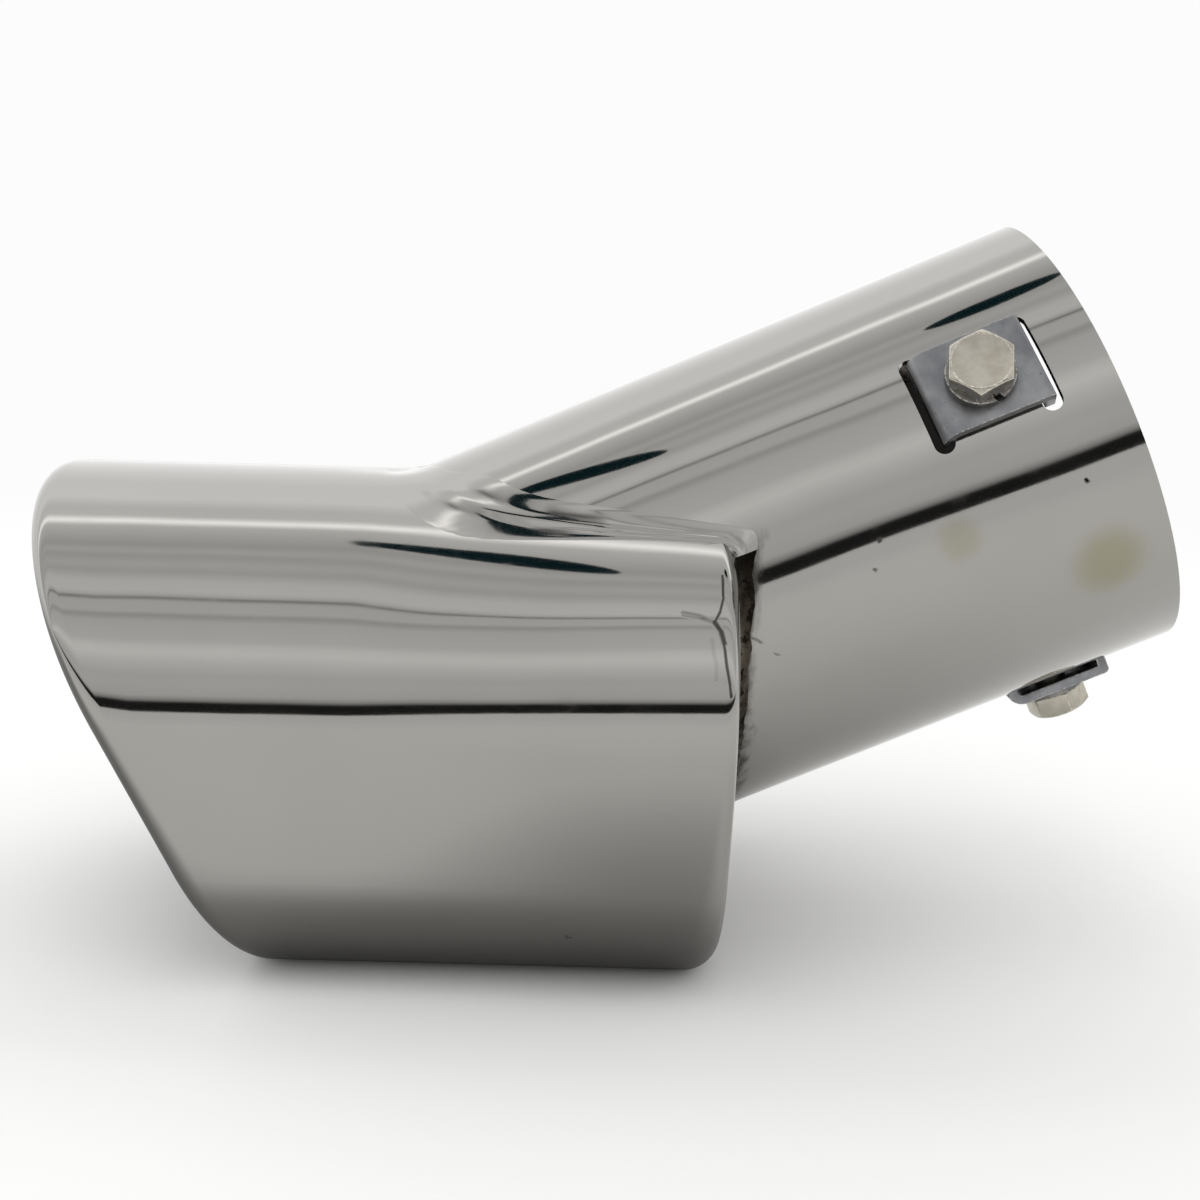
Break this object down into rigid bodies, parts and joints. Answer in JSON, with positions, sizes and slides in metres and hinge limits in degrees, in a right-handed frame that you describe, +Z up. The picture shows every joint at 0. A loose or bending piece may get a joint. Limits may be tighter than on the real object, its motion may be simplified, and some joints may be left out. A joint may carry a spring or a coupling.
{
  "type": "exhaust tip",
  "caption": "Polished steel exhaust tip with a slanted, flat-bottomed oval outlet and a round inlet tube held on by bolted clips.",
  "frame": {"origin": "centre of the inlet tube's open end, where the tailpipe enters", "axes": "+Z up from the flat bottom, +X from the outlet's mouth towards the inlet, the part symmetric about the XZ plane; the inlet's axis points out along +X and +Z, 23.9 degrees above level"},
  "size_m": [0.2042, 0.1146, 0.1299],
  "materials": {
    "polished_steel": "mirror polished stainless steel",
    "weld": "ground over the crown, rough and heat stained behind",
    "clip_steel": "dull rolled steel",
    "bolt_steel": "plain stainless steel"
  },
  "bodies": {
    "tip": {"outlet_shell": "polished_steel", "inlet_tube": "polished_steel", "weld_seam": "weld"},
    "clip_1": {"clamp_clip_1": "clip_steel", "spring_washer_1": "bolt_steel"},
    "clip_2": {"clamp_clip_2": "clip_steel", "spring_washer_2": "bolt_steel"},
    "clip_3": {"clamp_clip_3": "clip_steel", "spring_washer_3": "bolt_steel"},
    "bolt_1": {"clamp_bolt_1": "bolt_steel"},
    "bolt_2": {"clamp_bolt_2": "bolt_steel"},
    "bolt_3": {"clamp_bolt_3": "bolt_steel"}
  },
  "joints": [
    {"name": "clip_travel_1", "type": "slide", "parent": "tip", "child": "clip_1", "axis": [-0.2026, -0.866, 0.4571], "range_m": [-0.0003, 0.0008]},
    {"name": "bolt_turn_1", "type": "hinge", "parent": "clip_1", "child": "bolt_1", "pos_m": [-0.01847, 0, -0.00818], "axis": [-0.2026, -0.866, 0.4571], "range_deg": [-110, 290]},
    {"name": "clip_travel_2", "type": "slide", "parent": "tip", "child": "clip_2", "axis": [0.4051, 0, -0.9143], "range_m": [-0.0003, 0.0008]},
    {"name": "bolt_turn_2", "type": "hinge", "parent": "clip_2", "child": "bolt_2", "pos_m": [-0.01847, 0, -0.00818], "axis": [0.4051, 0, -0.9143], "range_deg": [-110, 290]},
    {"name": "clip_travel_3", "type": "slide", "parent": "tip", "child": "clip_3", "axis": [-0.2026, 0.866, 0.4571], "range_m": [-0.0003, 0.0008]},
    {"name": "bolt_turn_3", "type": "hinge", "parent": "clip_3", "child": "bolt_3", "pos_m": [-0.01847, 0, -0.00818], "axis": [-0.2026, 0.866, 0.4571], "range_deg": [-110, 290]}
  ],
  "couplings": [
    {"joint": "bolt_turn_1", "follows": "clip_travel_1", "rad_per_m": 6283.2},
    {"joint": "bolt_turn_2", "follows": "clip_travel_2", "rad_per_m": 6283.2},
    {"joint": "bolt_turn_3", "follows": "clip_travel_3", "rad_per_m": 6283.2}
  ]
}
